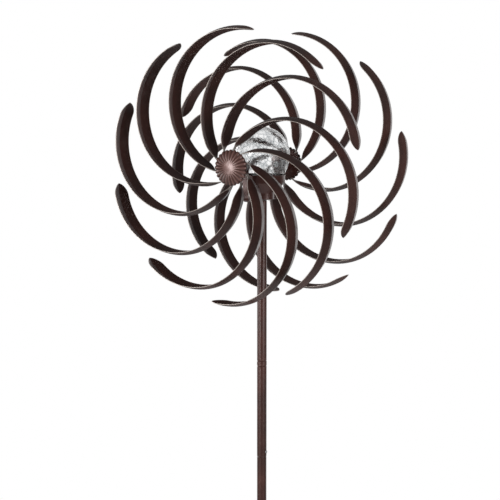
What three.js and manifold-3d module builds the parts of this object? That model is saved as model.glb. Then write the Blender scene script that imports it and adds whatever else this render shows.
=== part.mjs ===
// Twin-rotor wind sculpture with a lit glass globe, on a staked pole.
// Millimetres, +Z up. The origin is on the ground, under the middle of the stake's step bar.
// The front of the sculpture faces -Y, and both rotors turn about the Y direction.
import * as THREE from "three";
import { mergeVertices } from "three/addons/utils/BufferGeometryUtils.js";
import Module from "manifold-3d";

const wasm = await Module();
wasm.setup();

// ---- Driving dimensions ----
const HUB_HEIGHT = 1400; // the rotors' axis above the ground
const STAKE_DEPTH = 200; // prongs below the ground
const GAP = 0.3; // between pieces that touch

const BLADES = 10; // on each rotor
const TIP_RADIUS = 305; // 24 inch rotors
const ARC_RADIUS = 162; // each blade is a half circle of this radius
const TIP_LEAN = 5.6; // degrees that the tip dives inside the rotor's own circle
const BLADE_WIDTH = 51; // measured along the axis
const TIP_WIDTH = 53; // the blade's widest place, just before the tip
const TONGUE_WIDTH = 9; // the narrow end that is welded to the hub
const TONGUE_LENGTH = 9;
const FLARE_LENGTH = 36; // from the tongue to the full width
const POINT_LENGTH = 28; // from the full width to the tip
const POINT_BLUNTNESS = 0.65; // under 1 rounds the tip over
const TIP_FLAT = 3; // the tip isn't sharp
const GUTTER = 0.15; // depth of the gutter section as a share of its width
const SHEET = 1.2; // blade metal

const HUB_RADIUS = 37;
const HUB_LENGTH = 14;
const HUB_SHEET = 2; // the hub's disc and rim
const BOSS_WALL = 4; // round the bearings
const DISC_BACK = 1.5; // the disc stands ahead of the blade plane, close behind the cap
const FRONT_PLANE = -138; // blade planes, from the pole's axis
const REAR_PLANE = 117;
const FRONT_TURN = 10; // degrees that the first blade stands turned from upright
const REAR_TURN = -3;

const CAP_RADIUS = 39;
const CAP_DEPTH = 12;
const CAP_WALL = 1.2;
const CAP_FLUTES = 24;
const FLUTE_DEPTH = 1.4;
const SMOOTH_MIDDLE = 0.25; // share of the cap's radius that has no flutes

const AXLE_RADIUS = 4;
const BEARING_RADIUS = 11;
const RUNNING = 0.25; // radial clearance of what turns
const SPACER_RADIUS = 7;
const WASHER_RADIUS = 8;
const WASHER = 1.2;
const AXLE_NUT_RADIUS = 7.5; // to its corners
const AXLE_NUT = 5.5;
const AXLE_HEAD = 5;
const YOKE_REACH = 76; // inner face of each upright
const STRAP = 3;
const STRAP_WIDTH = 14;
const EYE_RADIUS = 10; // the yoke's round ends
const YOKE_BEND = 8; // inner radius of its two bends
const EYE_FLANGE = 2; // the spacer's flange against the yoke

const GLOBE_RADIUS = 64;
const GLOBE_CENTRE = 25; // above the rotors' axis
const GLOBE_DROP = 76; // the lower half is drawn down towards the neck
const GLASS = 2.5;
const CUP_RADIUS = 53;
const CUP_RIM = -21; // heights of the lamp cup, from the rotors' axis
const CUP_SHOULDER = -39;
const CUP_WAIST = -63;
const CUP_BOTTOM = -77;
const NECK_RADIUS = 28;
const CUP_WALL = 1.5;
const CUP_BEAD = 1.2; // the rolled bead round the rim
const BOLT_RADIUS = 3; // the bolt that holds cup, yoke and pole together
const BOLT_HOLE = 3.3;
const BOLT_HEAD_RADIUS = 5.5;
const DECK_TOP = -31.2;

const POLE_RADIUS = 11.2;
const LOWER_POLE_RADIUS = 11;
const TUBE_WALL = 1.1;
const SPIGOT_LENGTH = 34;
const RING_TOP = -455; // the ring between the two upper tubes
const RING_HEIGHT = 12;
const STEP_JOINT = -683; // where the pole steps down in diameter
const BASE_JOINT = -1060;

// ---- Materials ----
const paint = (name, color, roughness, metalness, more = {}) =>
  new THREE.MeshStandardMaterial({ name, color, roughness, metalness, ...more });
const bronze = paint("bronze_paint", 0x45322e, 0.42, 0.55);
const copper = paint("cap_bronze", 0x6e4a41, 0.38, 0.6);
const steel = paint("zinc_steel", 0xa5a7aa, 0.35, 0.9);
const bearingSteel = paint("bearing_steel", 0xc9ccd0, 0.2, 1.0);
const glass = paint("crackle_glass", 0xe9f0f2, 0.08, 0, { transparent: true, opacity: 0.4 });
const rubber = paint("seal_rubber", 0x1c1c1c, 0.8, 0);
const plastic = paint("black_plastic", 0x222222, 0.55, 0);
const whitePlastic = paint("white_plastic", 0xe8e6e0, 0.5, 0);
const solar = paint("solar_cell", 0x1a2233, 0.25, 0.3);
const board = paint("circuit_board", 0x1f5a36, 0.5, 0.1);
const cell = paint("battery_wrap", 0x4f7f52, 0.4, 0.2);
const epoxy = paint("led_epoxy", 0xfff3d6, 0.15, 0, { transparent: true, opacity: 0.7 });

// ---- Helpers ----
const degrees = THREE.MathUtils.degToRad;
const sculpture = new THREE.Group();
const head = new THREE.Group(); // everything measured from the rotors' axis
head.position.z = HUB_HEIGHT;
sculpture.add(head);

function part(name, geometry, material, parent = head) {
  const mesh = new THREE.Mesh(geometry, material);
  mesh.name = name;
  parent.add(mesh);
  return mesh;
}

// Turns a profile of [radius, height] pairs about Z. The outer wall runs upwards.
function turned(profile, segments = 20) {
  const points = profile.map(([r, h]) => new THREE.Vector2(r, h));
  return new THREE.LatheGeometry(points, segments).rotateX(Math.PI / 2);
}

const rod = (radius, low, high, segments = 20) =>
  turned([[0, low], [radius, low], [radius, high], [0, high]], segments);

const tube = (inner, outer, low, high, segments = 20) =>
  turned([[inner, low], [outer, low], [outer, high], [inner, high], [inner, low]], segments);

function solidOf(geometry) {
  const bare = geometry.clone();
  bare.deleteAttribute("normal");
  bare.deleteAttribute("uv");
  const merged = mergeVertices(bare, 1e-4);
  return new wasm.Manifold(new wasm.Mesh({
    numProp: 3,
    vertProperties: merged.attributes.position.array,
    triVerts: new Uint32Array(merged.index.array),
  }));
}

function geometryOf(solid) {
  const mesh = solid.getMesh();
  const geometry = new THREE.BufferGeometry();
  geometry.setAttribute("position", new THREE.BufferAttribute(mesh.vertProperties, 3));
  geometry.setIndex(new THREE.BufferAttribute(mesh.triVerts, 1));
  geometry.computeVertexNormals();
  return geometry;
}

const joined = (first, ...others) =>
  geometryOf(others.reduce((all, g) => all.add(solidOf(g)), solidOf(first)));

const cut = (first, ...others) =>
  geometryOf(others.reduce((rest, g) => rest.subtract(solidOf(g)), solidOf(first)));

// ---- Rotors ----
// A blade is sheet metal rolled to a half circle about the rotor's axis direction, with a
// shallow gutter section. It starts from a box: x is the way along it, y across it, z through it.
function bladeGeometry() {
  const lean = degrees(TIP_LEAN);
  const centre = new THREE.Vector2(
    -ARC_RADIUS * Math.sin(lean), TIP_RADIUS - ARC_RADIUS * Math.cos(lean));
  const reach = centre.length();
  const start = HUB_RADIUS + 2 * GAP + SHEET / 2; // the tongue ends just off the hub's rim
  const opening = Math.acos(
    (reach ** 2 + start ** 2 - ARC_RADIUS ** 2) / (2 * reach * start));
  const rootAt = new THREE.Vector2(start, 0)
    .rotateAround(new THREE.Vector2(), centre.angle() + opening);
  const rootAngle = rootAt.sub(centre).angle();
  const tipAngle = Math.PI / 2 - lean;
  const length = ARC_RADIUS * (rootAngle - tipAngle);

  const widthAt = (s) => {
    const flare = THREE.MathUtils.clamp((s - TONGUE_LENGTH) / FLARE_LENGTH, 0, 1);
    const point = THREE.MathUtils.clamp((length - s) / POINT_LENGTH, 0, 1);
    const full = THREE.MathUtils.lerp(BLADE_WIDTH, TIP_WIDTH, s / length);
    const rooted = THREE.MathUtils.lerp(TONGUE_WIDTH, full, Math.sin(flare * Math.PI / 2));
    return Math.max(TIP_FLAT, rooted * Math.sin(point * Math.PI / 2) ** POINT_BLUNTNESS);
  };

  const box = new THREE.BoxGeometry(1, 1, 1, 20, 2, 1);
  const at = box.attributes.position;
  for (let i = 0; i < at.count; i++) {
    const along = at.getX(i) + 0.5;
    const across = at.getY(i); // -0.5 is the front edge
    const through = at.getZ(i) * SHEET;
    const eased = along - 0.09 * Math.sin(2 * Math.PI * along); // closer steps near the ends
    const width = widthAt(eased * length);
    const angle = THREE.MathUtils.lerp(rootAngle, tipAngle, eased);
    const ridge = GUTTER * width * (0.5 - 2 * Math.abs(across)); // the middle stands outwards
    const radius = ARC_RADIUS + ridge + through;
    at.setXYZ(i, centre.x + radius * Math.cos(angle), across * width,
      centre.y + radius * Math.sin(angle));
  }
  box.computeVertexNormals();
  return box;
}

// A pressed dome whose flutes grow from its smooth middle to a scalloped rim.
function capGeometry() {
  const steps = 5;
  const profile = [];
  for (let i = steps; i >= 0; i--) {
    profile.push(domePoint(CAP_RADIUS - CAP_WALL, CAP_DEPTH - CAP_WALL, i / steps));
  }
  for (let i = 0; i <= steps; i++) profile.push(domePoint(CAP_RADIUS, CAP_DEPTH, i / steps));
  const dome = turned(profile, 2 * CAP_FLUTES);
  const at = dome.attributes.position;
  for (let i = 0; i < at.count; i++) {
    const radius = Math.hypot(at.getX(i), at.getY(i));
    const turn = Math.atan2(at.getY(i), at.getX(i));
    const share = THREE.MathUtils.smoothstep(radius / CAP_RADIUS, SMOOTH_MIDDLE, 1);
    const grown = 1 + share * (FLUTE_DEPTH / CAP_RADIUS) * Math.cos(turn * CAP_FLUTES);
    at.setXY(i, at.getX(i) * grown, at.getY(i) * grown);
  }
  return dome;
}

function domePoint(radius, depth, share) {
  const lift = share * Math.PI / 2;
  return [share === 1 ? 0 : radius * Math.cos(lift), depth * Math.sin(lift)];
}

// A dished disc with a rolled rim, on a boss that holds two bearings. +Z is the cap's side.
function hubGeometry() {
  const half = HUB_LENGTH / 2;
  const bore = BEARING_RADIUS + GAP;
  const boss = BEARING_RADIUS + BOSS_WALL;
  const rim = HUB_RADIUS - HUB_SHEET;
  const disc = DISC_BACK + HUB_SHEET;
  return turned([
    [bore, -half], [boss, -half], [boss, DISC_BACK], [HUB_RADIUS, DISC_BACK], [HUB_RADIUS, half],
    [rim, half], [rim, disc], [boss, disc], [boss, half], [bore, half], [bore, -half],
  ], 32);
}

const BLADE = bladeGeometry();
const CAP = capGeometry();
const HUB = hubGeometry();

// Turns a piece made about Z so that its +Z points forwards along the rotors' axis.
const forwards = (geometry) => geometry.clone().rotateX(Math.PI / 2);

// One rotor with its axle. Distances along the axle are measured from the pole's axis.
function addRotor(side, plane, firstTurn, facing) {
  const group = new THREE.Group();
  group.rotation.z = facing;
  head.add(group);

  const rotor = new THREE.Group();
  rotor.position.y = -plane;
  group.add(rotor);
  for (let i = 0; i < BLADES; i++) {
    const number = String(i + 1).padStart(2, "0");
    const blade = part(`${side}_blade_${number}`, BLADE, bronze, rotor);
    blade.rotation.y = degrees(firstTurn + i * 360 / BLADES);
  }
  const half = HUB_LENGTH / 2;
  const inner = AXLE_RADIUS + RUNNING;
  const along = (name, geometry, material, parent) =>
    part(`${side}_${name}`, forwards(geometry), material, parent);
  along("hub", HUB, bronze, rotor);
  along("inner_bearing", tube(inner, BEARING_RADIUS, -half, -GAP / 2), bearingSteel, rotor);
  along("outer_bearing", tube(inner, BEARING_RADIUS, GAP / 2, half), bearingSteel, rotor);
  along("cap", CAP, copper, rotor).position.y = -half - GAP;

  const yokeFace = YOKE_REACH + STRAP + GAP;
  const flange = yokeFace + EYE_FLANGE;
  const hubBack = plane - half - GAP;
  const washerBack = plane + half + GAP;
  const nutBack = washerBack + WASHER + GAP;
  const nutTop = nutBack + AXLE_NUT;
  const headFace = YOKE_REACH - GAP;
  along("axle", joined(
    rod(AXLE_NUT_RADIUS, headFace - AXLE_HEAD, headFace, 6),
    rod(AXLE_RADIUS, headFace - 1, nutTop + 0.8)), steel, group);
  along("spacer", turned([
    [inner, yokeFace], [EYE_RADIUS, yokeFace], [EYE_RADIUS, flange], [SPACER_RADIUS, flange],
    [SPACER_RADIUS, hubBack], [inner, hubBack], [inner, yokeFace],
  ]), steel, group);
  along("washer", tube(inner, WASHER_RADIUS, washerBack, washerBack + WASHER), steel, group);
  along("axle_nut", hexNut(AXLE_NUT_RADIUS, inner, nutBack, nutTop), steel, group);
}

const hexNut = (radius, bore, low, high) =>
  cut(rod(radius, low, high, 6), rod(bore, low - 1, high + 1));

addRotor("front", -FRONT_PLANE, FRONT_TURN, 0);
addRotor("rear", REAR_PLANE, REAR_TURN, Math.PI);

// ---- Yoke ----
// A strap bent to a U under the lamp. Its uprights hold the two axles.
function yokeGeometry() {
  const top = CUP_BOTTOM - GAP;
  const low = top - STRAP;
  const out = YOKE_REACH + STRAP;
  const bend = YOKE_BEND;
  const outer = bend + STRAP;
  const u = new THREE.Shape();
  u.moveTo(-out, 0);
  u.lineTo(-out, low + outer);
  u.absarc(-out + outer, low + outer, outer, Math.PI, 1.5 * Math.PI);
  u.absarc(out - outer, low + outer, outer, 1.5 * Math.PI, 2 * Math.PI);
  u.lineTo(out, 0);
  u.lineTo(YOKE_REACH, 0);
  u.absarc(YOKE_REACH - bend, top + bend, bend, 2 * Math.PI, 1.5 * Math.PI, true);
  u.absarc(-YOKE_REACH + bend, top + bend, bend, 1.5 * Math.PI, Math.PI, true);
  u.lineTo(-YOKE_REACH, 0);
  const strap = new THREE.ExtrudeGeometry(
    u, { depth: STRAP_WIDTH, bevelEnabled: false, curveSegments: 4 });
  strap.translate(0, 0, -STRAP_WIDTH / 2).rotateX(Math.PI / 2).rotateZ(Math.PI / 2);
  const ends = forwards(rod(EYE_RADIUS, YOKE_REACH, out));
  const hole = forwards(rod(AXLE_RADIUS + RUNNING, YOKE_REACH - 1, out + 1));
  return cut(joined(strap, ends, ends.clone().rotateZ(Math.PI)),
    hole, hole.clone().rotateZ(Math.PI), rod(BOLT_HOLE, low - 1, top + 1));
}
part("yoke", yokeGeometry(), bronze);

// ---- Lamp ----
const CUP_SIDES = 28; // facets round the cup and what sits in it
const CUP_FLOOR = CUP_BOTTOM + CUP_WALL;
const DECK = 2; // the white shelf under the globe
const LED_HOLE = 5.3; // through the shelf and the solar cell
const SWITCH_X = 19; // the switch is clear of the strap
const SWITCH_TRAVEL = 2; // to each side
const KNOB_X = 4;
const KNOB_Y = 5;
const CELL_SIDE = 54;
const BOARD = 1.6;
const BOARD_DROP = 7; // from the shelf's top to the board's top
const TRAY_LENGTH = 56;
const TRAY_BOTTOM = -59;
const BATTERY_RADIUS = 7.2; // an AA cell
const BATTERY_LENGTH = 49;

function cupGeometry() {
  const inner = CUP_RADIUS - CUP_WALL;
  const corner = 0.41 * CUP_WALL; // keeps the slanting wall's thickness
  const ledge = DECK_TOP - DECK - GAP;
  const beaded = CUP_RADIUS + CUP_BEAD;
  const foot = NECK_RADIUS - CUP_WALL;
  const bowl = turned([
    [BOLT_HOLE, CUP_BOTTOM], [NECK_RADIUS, CUP_BOTTOM], [NECK_RADIUS, CUP_WAIST],
    [CUP_RADIUS, CUP_SHOULDER], [CUP_RADIUS, CUP_RIM - 2.2], [beaded, CUP_RIM - 1.4],
    [beaded, CUP_RIM], [inner, CUP_RIM], [inner, ledge], [inner - 2, ledge],
    [inner - 2, ledge - 1.5], [inner, ledge - 3.5], [inner, CUP_SHOULDER + corner],
    [foot, CUP_WAIST + corner], [foot, CUP_FLOOR], [BOLT_HOLE, CUP_FLOOR], [BOLT_HOLE, CUP_BOTTOM],
  ], CUP_SIDES);
  const slot = new THREE.BoxGeometry(KNOB_X + 0.6, KNOB_Y + 0.6 + 2 * SWITCH_TRAVEL, 4)
    .translate(SWITCH_X, 0, CUP_BOTTOM + 0.5);
  return cut(bowl, slot);
}

// The globe's outline at a height angle: round above its widest place, drawn out below it.
const globePoint = (inset, lift) => [
  (GLOBE_RADIUS - inset) * Math.cos(lift),
  GLOBE_CENTRE + ((lift < 0 ? GLOBE_DROP : GLOBE_RADIUS) - inset) * Math.sin(lift),
];

function globeGeometry() {
  const mouth = DECK_TOP + GAP - GLOBE_CENTRE;
  const steps = 9;
  const profile = [];
  for (const [inset, order] of [[GLASS, 1], [0, -1]]) {
    const lowest = Math.asin(mouth / (GLOBE_DROP - inset));
    for (let i = 0; i <= steps; i++) {
      const share = order > 0 ? i / steps : 1 - i / steps;
      const point = globePoint(inset, THREE.MathUtils.lerp(Math.PI / 2, lowest, share));
      profile.push(share === 0 ? [0, point[1]] : point);
    }
  }
  return turned(profile, CUP_SIDES);
}

const box = (x, y, low, high, atX = 0, atY = 0) =>
  new THREE.BoxGeometry(x, y, high - low).translate(atX, atY, (low + high) / 2);

function addLamp() {
  const shelf = CUP_RADIUS - CUP_WALL - GAP;
  const wellFloor = TRAY_BOTTOM + 1.3;
  part("lamp_cup", cupGeometry(), bronze);
  part("globe_seal", tube(shelf - 1, shelf, CUP_RIM - 7, CUP_RIM - 3, CUP_SIDES), rubber);
  part("glass_globe", globeGeometry(), glass);
  part("lamp_deck", cut(
    rod(shelf, DECK_TOP - DECK, DECK_TOP, CUP_SIDES),
    rod(LED_HOLE, DECK_TOP - 3, DECK_TOP + 1, 16)), whitePlastic);
  part("solar_cell", cut(
    box(CELL_SIDE, CELL_SIDE, DECK_TOP + GAP, DECK_TOP + GAP + 1.2),
    rod(LED_HOLE, DECK_TOP - 1, DECK_TOP + 3, 16)), solar);

  const boardTop = DECK_TOP - BOARD_DROP;
  const boardLow = boardTop - BOARD;
  part("led_lamp", turned([
    [0, boardTop + GAP], [5, boardTop + GAP], [5, -25], [4.3, -22.4], [2.5, -20.6], [0, -20],
  ]), epoxy);
  part("circuit_board", box(TRAY_LENGTH, 24, boardLow, boardTop), board);
  const tray = box(TRAY_LENGTH, 17, TRAY_BOTTOM, boardLow - GAP);
  const well = box(TRAY_LENGTH - 4, 15.2, wellFloor, boardTop);
  const legs = [-20, 9].map((x) => box(4, 8, CUP_FLOOR + GAP, TRAY_BOTTOM + 0.5, x));
  part("battery_tray", joined(cut(tray, well), ...legs), plastic);
  const battery = joined(
    rod(BATTERY_RADIUS, -BATTERY_LENGTH / 2 - 0.5, BATTERY_LENGTH / 2 - 0.5),
    rod(2.7, BATTERY_LENGTH / 2 - 1, BATTERY_LENGTH / 2 + 0.8, 12));
  battery.rotateY(Math.PI / 2).translate(0, 0, wellFloor + GAP + BATTERY_RADIUS);
  part("battery", battery, cell);

  part("switch_body", box(10, 16, CUP_FLOOR + 2.1, CUP_FLOOR + 8, SWITCH_X), plastic);
  part("switch_knob", joined(
    box(7, 8, CUP_FLOOR + GAP, CUP_FLOOR + 1.8, SWITCH_X),
    box(KNOB_X, KNOB_Y, CUP_BOTTOM - 3, CUP_FLOOR + 1, SWITCH_X)), whitePlastic);
}
addLamp();

// ---- Pole ----
const SPIGOT_SLIP = 0.3;
const SCREW_RISE = 12; // joint screws above their joints
const SCREW_RADIUS = 1.6;
const SCREW_HEAD_RADIUS = 3.2;
const SCREW_HEAD = 1.6;
const PLUG = 3; // the welded end of the top tube
const BOLT_HEAD = 4;

// A tube whose reduced upper end slides into the tube above it.
function spigotTube(outer, bottom, shoulder, spigotTop, spigotOuter, holes) {
  const inner = outer - TUBE_WALL;
  const throat = spigotOuter - TUBE_WALL;
  const body = turned([
    [inner, bottom], [outer, bottom], [outer, shoulder], [spigotOuter, shoulder],
    [spigotOuter, spigotTop], [throat, spigotTop], [throat, shoulder - 2],
    [inner, shoulder - 4], [inner, bottom],
  ]);
  return cut(body, ...holes);
}

const sideways = (geometry) => geometry.clone().rotateY(Math.PI / 2);

const screwHole = (height) =>
  sideways(rod(SCREW_RADIUS + GAP, 5, 20, 12)).translate(0, 0, height);

const screw = (outer, height) => sideways(joined(
  rod(SCREW_RADIUS, outer - 4, outer + GAP + 0.5, 12),
  rod(SCREW_HEAD_RADIUS, outer + GAP, outer + GAP + SCREW_HEAD, 16))).translate(0, 0, height);

function addPole() {
  const plugTop = CUP_BOTTOM - STRAP - 2 * GAP;
  const plugLow = plugTop - PLUG;
  const inner = POLE_RADIUS - TUBE_WALL;
  const headLow = CUP_FLOOR + GAP;
  part("centre_bolt", joined(
    rod(BOLT_HEAD_RADIUS, headLow, headLow + BOLT_HEAD, 6),
    rod(BOLT_RADIUS, plugLow - 8, headLow + 0.5)), steel);
  part("centre_nut", hexNut(BOLT_HEAD_RADIUS, BOLT_HOLE, plugLow - GAP - 5, plugLow - GAP), steel);
  part("pole_top", turned([
    [inner, RING_TOP], [POLE_RADIUS, RING_TOP], [POLE_RADIUS, plugTop], [BOLT_HOLE, plugTop],
    [BOLT_HOLE, plugLow], [inner, plugLow], [inner, RING_TOP],
  ]), bronze);

  const ringLow = RING_TOP - RING_HEIGHT;
  part("pole_ring", tube(inner, POLE_RADIUS + 0.2, ringLow + GAP, RING_TOP - GAP), bronze);
  const spigot = inner - SPIGOT_SLIP;
  const lowerSpigot = LOWER_POLE_RADIUS - TUBE_WALL - SPIGOT_SLIP;
  const upperScrew = STEP_JOINT + SCREW_RISE;
  const lowerScrew = BASE_JOINT + SCREW_RISE;
  part("pole_middle", spigotTube(
    POLE_RADIUS, STEP_JOINT, ringLow, RING_TOP + SPIGOT_LENGTH, spigot,
    [screwHole(upperScrew)]), bronze);
  part("pole_lower", spigotTube(
    LOWER_POLE_RADIUS, BASE_JOINT, STEP_JOINT - GAP, STEP_JOINT + SPIGOT_LENGTH, lowerSpigot,
    [screwHole(upperScrew), screwHole(lowerScrew)]), bronze);
  part("pole_base", spigotTube(
    LOWER_POLE_RADIUS, BAR - HUB_HEIGHT + GAP, BASE_JOINT - GAP, BASE_JOINT + SPIGOT_LENGTH,
    lowerSpigot, [screwHole(lowerScrew)]), bronze);
  part("upper_joint_screw", screw(POLE_RADIUS, upperScrew), steel);
  part("lower_joint_screw", screw(LOWER_POLE_RADIUS, lowerScrew), steel);
}

// ---- Ground stake, measured from the ground ----
const BAR = 5; // thickness of the step bar
const BAR_LENGTH = 180;
const BAR_WIDTH = 28;
const PRONG_SPREAD = 80;
const PRONG_RADIUS = 4;
const PRONG_POINT = 25;
const SOCKET_HEIGHT = 90;
const SOCKET_WALL = 1.8;
const GUSSET_REACH = 46; // from the pole's axis, and from the ground
const GUSSET_SHEET = 3;
const THUMBSCREW_HEIGHT = 60;

function addStake() {
  const inner = LOWER_POLE_RADIUS + GAP;
  const outer = inner + SOCKET_WALL;
  const weld = BAR - 0.5; // the socket and gussets run a little into the bar
  const bar = box(BAR_LENGTH, BAR_WIDTH, 0, BAR);
  const socket = tube(inner, outer, weld, SOCKET_HEIGHT);
  const prong = turned([
    [0, -STAKE_DEPTH], [PRONG_RADIUS, -STAKE_DEPTH + PRONG_POINT], [PRONG_RADIUS, 1], [0, 1],
  ], 16);
  const prongs = [-1, 1].map((s) => prong.clone().translate(s * PRONG_SPREAD, 0, 0));
  const corners = [[outer - 1, weld], [GUSSET_REACH, weld], [outer - 1, GUSSET_REACH]];
  const rib = new THREE.Shape(corners.map(([x, z]) => new THREE.Vector2(x, z)));
  const gusset = new THREE.ExtrudeGeometry(rib, { depth: GUSSET_SHEET, bevelEnabled: false });
  gusset.translate(0, 0, -GUSSET_SHEET / 2).rotateX(Math.PI / 2);
  const across = (geometry) =>
    sideways(geometry).translate(0, 0, THUMBSCREW_HEIGHT).rotateZ(Math.PI / 2);
  part("ground_stake", cut(
    joined(bar, socket, ...prongs, gusset, gusset.clone().rotateZ(Math.PI)),
    across(rod(2.8, 5, 20, 16))), bronze, sculpture);
  part("stake_screw", across(joined(
    rod(2.5, inner, outer + 2, 16),
    rod(7, outer + 1.5, outer + 6, 12))), steel, sculpture);
}
addPole();
addStake();

export default sculpture;
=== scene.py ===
# %% [markdown]
# # A twin-rotor wind sculpture
#
# Two wheels of ten curved steel blades turn back to back on either side of a lit glass globe,
# on a pole with a forked stake. The measured parts are loaded first, and this lesson models the
# finer pieces round them, gives every piece its finish, and sets up the studio.

# %% Load the measured parts
import math
import bmesh
import bpy
from mathutils import Matrix, Vector


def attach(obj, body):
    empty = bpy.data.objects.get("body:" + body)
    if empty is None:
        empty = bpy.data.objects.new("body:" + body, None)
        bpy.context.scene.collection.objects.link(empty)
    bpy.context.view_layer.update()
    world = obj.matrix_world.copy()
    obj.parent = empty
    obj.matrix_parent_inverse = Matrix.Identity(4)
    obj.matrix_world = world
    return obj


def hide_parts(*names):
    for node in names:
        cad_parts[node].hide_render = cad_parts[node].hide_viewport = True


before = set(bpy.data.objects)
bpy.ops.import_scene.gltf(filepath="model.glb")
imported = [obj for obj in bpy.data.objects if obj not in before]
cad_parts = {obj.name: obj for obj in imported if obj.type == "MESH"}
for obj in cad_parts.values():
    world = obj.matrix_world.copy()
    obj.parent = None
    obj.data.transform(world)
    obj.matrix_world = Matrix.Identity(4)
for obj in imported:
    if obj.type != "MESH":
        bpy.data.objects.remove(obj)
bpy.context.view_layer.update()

MM = 0.001  # lengths below are in millimetres, and Blender works in metres
print("parts loaded:", len(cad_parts))

# %% [markdown]
# ## Modelling by hand, from a script
#
# A modeller picks vertices or faces by eye and moves them. A script picks them by a question
# about their place instead, such as "are you on this ring?". Everything starts from a primitive
# that is added at its own size, and everything else is deselected first, because an operator
# works on all that is selected.

# %% Picking and moving
def start(kind, **settings):
    """Adds a primitive with nothing else selected and opens it for editing."""
    bpy.ops.object.select_all(action="DESELECT")
    getattr(bpy.ops.mesh, "primitive_" + kind + "_add")(**settings)
    piece = bpy.context.object
    bpy.ops.object.mode_set(mode="EDIT")
    bpy.ops.mesh.select_mode(type="VERT")
    return piece


def pick(test):
    """Selects the vertices of the piece being edited whose place passes the test."""
    mesh = bmesh.from_edit_mesh(bpy.context.edit_object.data)
    for v in mesh.verts:
        v.select_set(bool(test(v.co)))
    mesh.select_flush(True)
    mesh.select_flush(False)
    bmesh.update_edit_mesh(bpy.context.edit_object.data)
    return sum(v.select for v in mesh.verts)


def move(x, y, z):
    """Moves the picked part by millimetres."""
    bpy.ops.transform.translate(value=(x * MM, y * MM, z * MM))


def extrude(x, y, z):
    """Extrudes the picked part and moves its new end by millimetres."""
    bpy.ops.mesh.extrude_region_move(TRANSFORM_OT_translate={"value": (x * MM, y * MM, z * MM)})


def modify(piece, kind, **settings):
    """Adds a modifier with its settings and applies it."""
    if bpy.context.mode != "OBJECT":
        bpy.ops.object.mode_set(mode="OBJECT")
    bpy.ops.object.select_all(action="DESELECT")
    piece.select_set(True)
    bpy.context.view_layer.objects.active = piece
    modifier = piece.modifiers.new(kind.title(), kind)
    for key, value in settings.items():
        setattr(modifier, key, value)
    bpy.ops.object.modifier_apply(modifier=modifier.name)


def bevel(piece, width, segments=2, angle=30):
    """Breaks every edge that is sharper than the angle."""
    modify(piece, "BEVEL", width=width * MM, segments=segments, limit_method="ANGLE",
           angle_limit=math.radians(angle))


def boolean(piece, operation, other):
    """Cuts another piece out of this one, or joins it on, and removes the other."""
    modify(piece, "BOOLEAN", operation=operation, object=other, solver="EXACT")
    bpy.data.objects.remove(other)


def settle(piece, name, smooth=35):
    """Closes the editing: the place goes into the mesh, and faces under the angle look smooth."""
    if bpy.context.mode != "OBJECT":
        bpy.ops.object.mode_set(mode="OBJECT")
    bpy.ops.object.select_all(action="DESELECT")
    piece.select_set(True)
    bpy.context.view_layer.objects.active = piece
    bpy.ops.object.transform_apply(location=True, rotation=True, scale=True)
    bpy.ops.object.shade_smooth_by_angle(angle=math.radians(smooth))
    piece.name = piece.data.name = name
    return piece


def face_outwards():
    """Merges doubles and turns every face of the piece being edited outwards."""
    bpy.ops.mesh.select_all(action="SELECT")
    bpy.ops.mesh.remove_doubles(threshold=0.002 * MM)
    bpy.ops.mesh.normals_make_consistent(inside=False)


def twin(piece, name, matrix):
    """A copy of a piece with its own mesh, turned and moved by a matrix."""
    copy = piece.copy()
    copy.data = piece.data.copy()
    copy.name = copy.data.name = name
    bpy.context.scene.collection.objects.link(copy)
    copy.data.transform(matrix)
    return copy


HUB_HEIGHT = 1400  # the rotors' axis above the ground
HEAD = Matrix.Translation((0, 0, HUB_HEIGHT * MM))
print("the rotors turn at", HUB_HEIGHT, "mm")

# %% [markdown]
# ## Shader maths that reads like maths
#
# In the shader editor every sum is a Math node. This small class wraps a socket, so that
# `1 - mask * 0.5` in Python adds those nodes by itself. Colours never pass through Math nodes,
# which would turn them grey: they are mixed by a Mix node instead.

# %% A socket that can be added and multiplied
class Shade:
    """A shader's output that takes part in sums."""

    def __init__(self, finish, socket):
        self.finish, self.socket = finish, socket

    def maths(self, operation, *others):
        return self.finish.node("Math", {"operation": operation}, dict(enumerate((self,) + others)))

    def __add__(self, other):
        return self.maths("ADD", other)

    def __rsub__(self, other):
        return self.maths("MULTIPLY_ADD", -1.0, other)

    def __mul__(self, other):
        return self.maths("MULTIPLY", other)

    def __pow__(self, other):
        return self.maths("POWER", other)

    __radd__ = __add__

    def step(self, low, high):
        """0 below low, 1 above high, and a soft ramp between them."""
        limits = {"Value": self, "From Min": low, "From Max": high}
        return self.finish.node("MapRange", {"interpolation_type": "SMOOTHSTEP"}, limits)


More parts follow.
